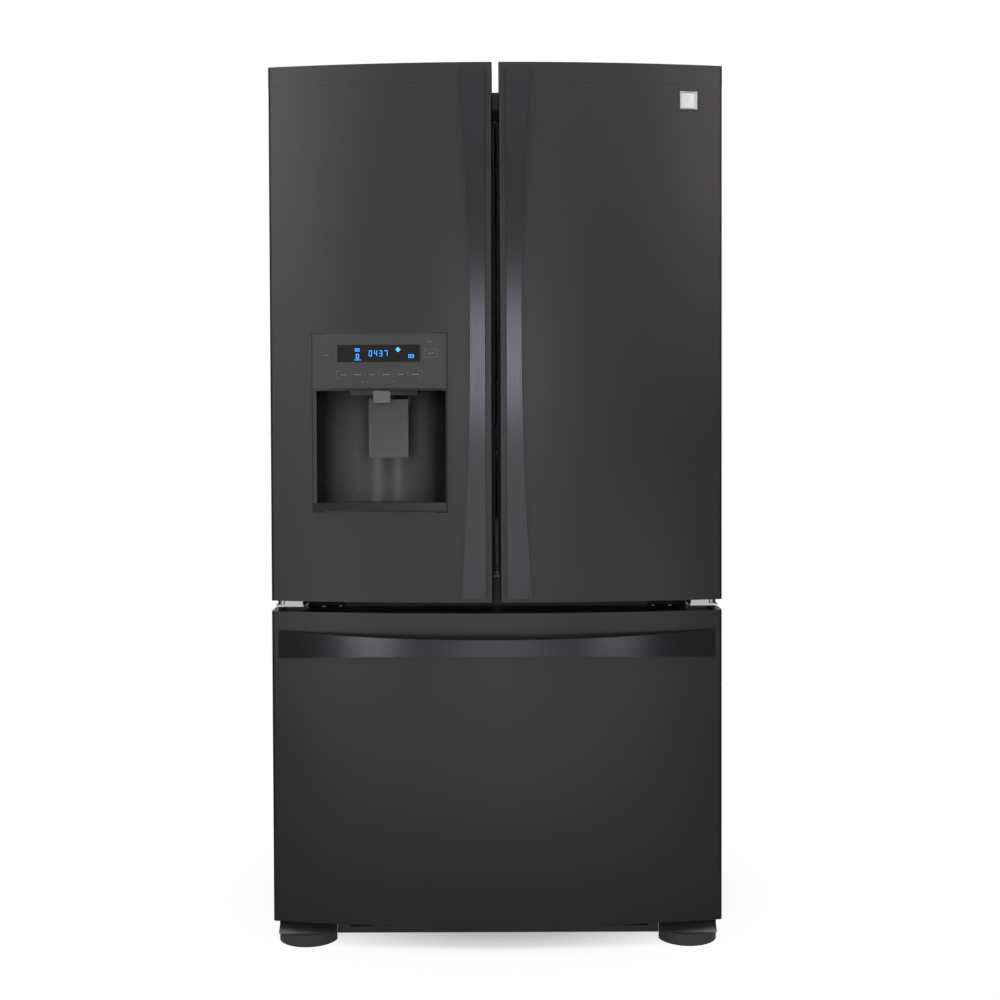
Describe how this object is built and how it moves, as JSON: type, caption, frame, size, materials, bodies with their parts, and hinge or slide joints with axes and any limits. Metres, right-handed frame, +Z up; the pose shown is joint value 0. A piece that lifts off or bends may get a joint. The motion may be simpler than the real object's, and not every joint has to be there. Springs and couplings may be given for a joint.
{
  "type": "french door refrigerator",
  "caption": "French door refrigerator in dark steel: two upper doors, ice and water station in the left one, bowed front, and a full-width freezer drawer below.",
  "frame": {"origin": "on the floor, under the centre of the whole body's bounding box", "axes": "+Z up; the doors face -Y; +X is the viewer's right when facing the doors"},
  "size_m": [0.908, 0.9, 1.772],
  "materials": {
    "black_stainless": "satin brushed, dark tint",
    "handle_steel": "semi-gloss dark tinted",
    "cabinet_paint": "textured black enamel",
    "bare_steel": "zinc plated",
    "black_plastic": "fine grain",
    "liner_plastic": "semi-gloss white",
    "foam": "rigid polyurethane foam",
    "seal_rubber": "dark flexible seal",
    "clear_bin": "clear moulded",
    "shelf_glass": "tempered",
    "dispenser_plastic": "black semi-gloss",
    "display": null,
    "filter_white": "smooth",
    "foot_steel": "plated",
    "roller_plastic": "nylon",
    "compressor_paint": "gloss black",
    "fin_metal": "bare fins",
    "badge_metal": "satin silver"
  },
  "bodies": {
    "cabinet": {"cabinet_shell": "cabinet_paint", "top_hinges": "cabinet_paint", "base_frame": "cabinet_paint", "cabinet_rails": "cabinet_paint", "back_panel": "bare_steel", "hinge_screws": "bare_steel", "centre_hinges": "bare_steel", "machine_cover": "bare_steel", "hinge_covers": "black_plastic", "leg_covers": "black_plastic", "base_grille": "black_plastic", "power_inlet": "black_plastic", "fridge_liner": "liner_plastic", "freezer_liner": "liner_plastic", "air_duct": "liner_plastic", "cabinet_foam": "foam", "crisper_drawers": "clear_bin", "glass_shelves": "shelf_glass", "levelling_feet": "foot_steel", "compressor": "compressor_paint", "condenser": "fin_metal", "evaporator": "fin_metal"},
    "rear_rollers": {"rear_rollers": "roller_plastic"},
    "condenser_fan": {"condenser_fan": "black_plastic"},
    "evaporator_fan": {"evaporator_fan": "black_plastic"},
    "water_filter": {"water_filter": "filter_white"},
    "left_door": {"left_door_skin": "black_stainless", "left_door_caps": "black_plastic", "left_door_foam": "foam", "left_door_liner": "liner_plastic", "left_gasket": "seal_rubber", "left_handle": "handle_steel", "dispenser_panel": "dispenser_plastic", "display_window": "display", "dispenser_recess": "dispenser_plastic", "dispenser_nozzle": "dispenser_plastic", "ice_box": "liner_plastic", "left_door_bins": "clear_bin"},
    "mullion": {"mullion_bar": "liner_plastic"},
    "paddle": {"dispenser_paddle": "dispenser_plastic"},
    "chute_flap": {"ice_chute_flap": "dispenser_plastic"},
    "drip_tray": {"drip_tray": "dispenser_plastic"},
    "right_door": {"right_door_skin": "black_stainless", "right_door_caps": "black_plastic", "right_door_foam": "foam", "right_door_liner": "liner_plastic", "right_gasket": "seal_rubber", "right_handle": "handle_steel", "badge": "badge_metal", "right_door_bins": "clear_bin"},
    "dairy_lid": {"dairy_lid": "clear_bin"},
    "freezer_drawer": {"drawer_skin": "black_stainless", "drawer_foam": "foam", "drawer_liner": "liner_plastic", "drawer_gasket": "seal_rubber", "drawer_handle": "handle_steel", "drawer_rails": "bare_steel", "freezer_basket": "clear_bin"},
    "middle_rails": {"middle_rails": "bare_steel"},
    "freezer_tray": {"freezer_tray": "clear_bin"}
  },
  "joints": [
    {"name": "left_door_hinge", "type": "hinge", "parent": "cabinet", "child": "left_door", "pos_m": [-0.434, -0.348, 0.7], "axis": [0, 0, -1], "range_deg": [0, 110]},
    {"name": "right_door_hinge", "type": "hinge", "parent": "cabinet", "child": "right_door", "pos_m": [0.434, -0.348, 0.7], "axis": [0, 0, 1], "range_deg": [0, 110]},
    {"name": "mullion_fold", "type": "hinge", "parent": "left_door", "child": "mullion", "pos_m": [-0.042, -0.285, 0.7], "axis": [0, 0, 1], "range_deg": [0, 90]},
    {"name": "paddle_press", "type": "hinge", "parent": "left_door", "child": "paddle", "pos_m": [-0.218, -0.346, 1.098], "axis": [1, 0, 0], "range_deg": [0, 6], "stiffness_Nm_per_rad": 2, "springref_deg": -5.73},
    {"name": "chute_flap_hinge", "type": "hinge", "parent": "left_door", "child": "chute_flap", "pos_m": [-0.218, -0.35, 1.1275], "axis": [-1, 0, 0], "range_deg": [0, 40]},
    {"name": "drip_tray_lift", "type": "slide", "parent": "left_door", "child": "drip_tray", "axis": [0, 0, 1], "range_m": [0, 0.02]},
    {"name": "dairy_lid_hinge", "type": "hinge", "parent": "right_door", "child": "dairy_lid", "pos_m": [0.22, -0.194, 1.566], "axis": [1, 0, 0], "range_deg": [0, 80]},
    {"name": "drawer_slide", "type": "slide", "parent": "cabinet", "child": "freezer_drawer", "axis": [0, -1, 0], "range_m": [0, 0.43]},
    {"name": "middle_rail_slide", "type": "slide", "parent": "cabinet", "child": "middle_rails", "axis": [0, -1, 0], "range_m": [0, 0.215]},
    {"name": "tray_slide", "type": "slide", "parent": "cabinet", "child": "freezer_tray", "axis": [0, -1, 0], "range_m": [0, 0.215]},
    {"name": "water_filter_turn", "type": "hinge", "parent": "cabinet", "child": "water_filter", "pos_m": [0.35, 0, 1.648], "axis": [0, 1, 0], "range_deg": [0, 90]},
    {"name": "evaporator_fan_spin", "type": "hinge", "parent": "cabinet", "child": "evaporator_fan", "pos_m": [0, 0.31, 0.58], "axis": [0, 1, 0], "continuous": true},
    {"name": "condenser_fan_spin", "type": "hinge", "parent": "cabinet", "child": "condenser_fan", "pos_m": [-0.085, 0.349, 0.158], "axis": [1, 0, 0], "continuous": true},
    {"name": "rear_roller_spin", "type": "hinge", "parent": "cabinet", "child": "rear_rollers", "pos_m": [0, 0.4, 0.018], "axis": [1, 0, 0], "continuous": true}
  ],
  "couplings": [
    {"joint": "middle_rail_slide", "follows": "drawer_slide", "ratio": 0.5},
    {"joint": "tray_slide", "follows": "drawer_slide", "ratio": 0.5},
    {"joint": "chute_flap_hinge", "follows": "paddle_press", "ratio": 6.6667}
  ]
}
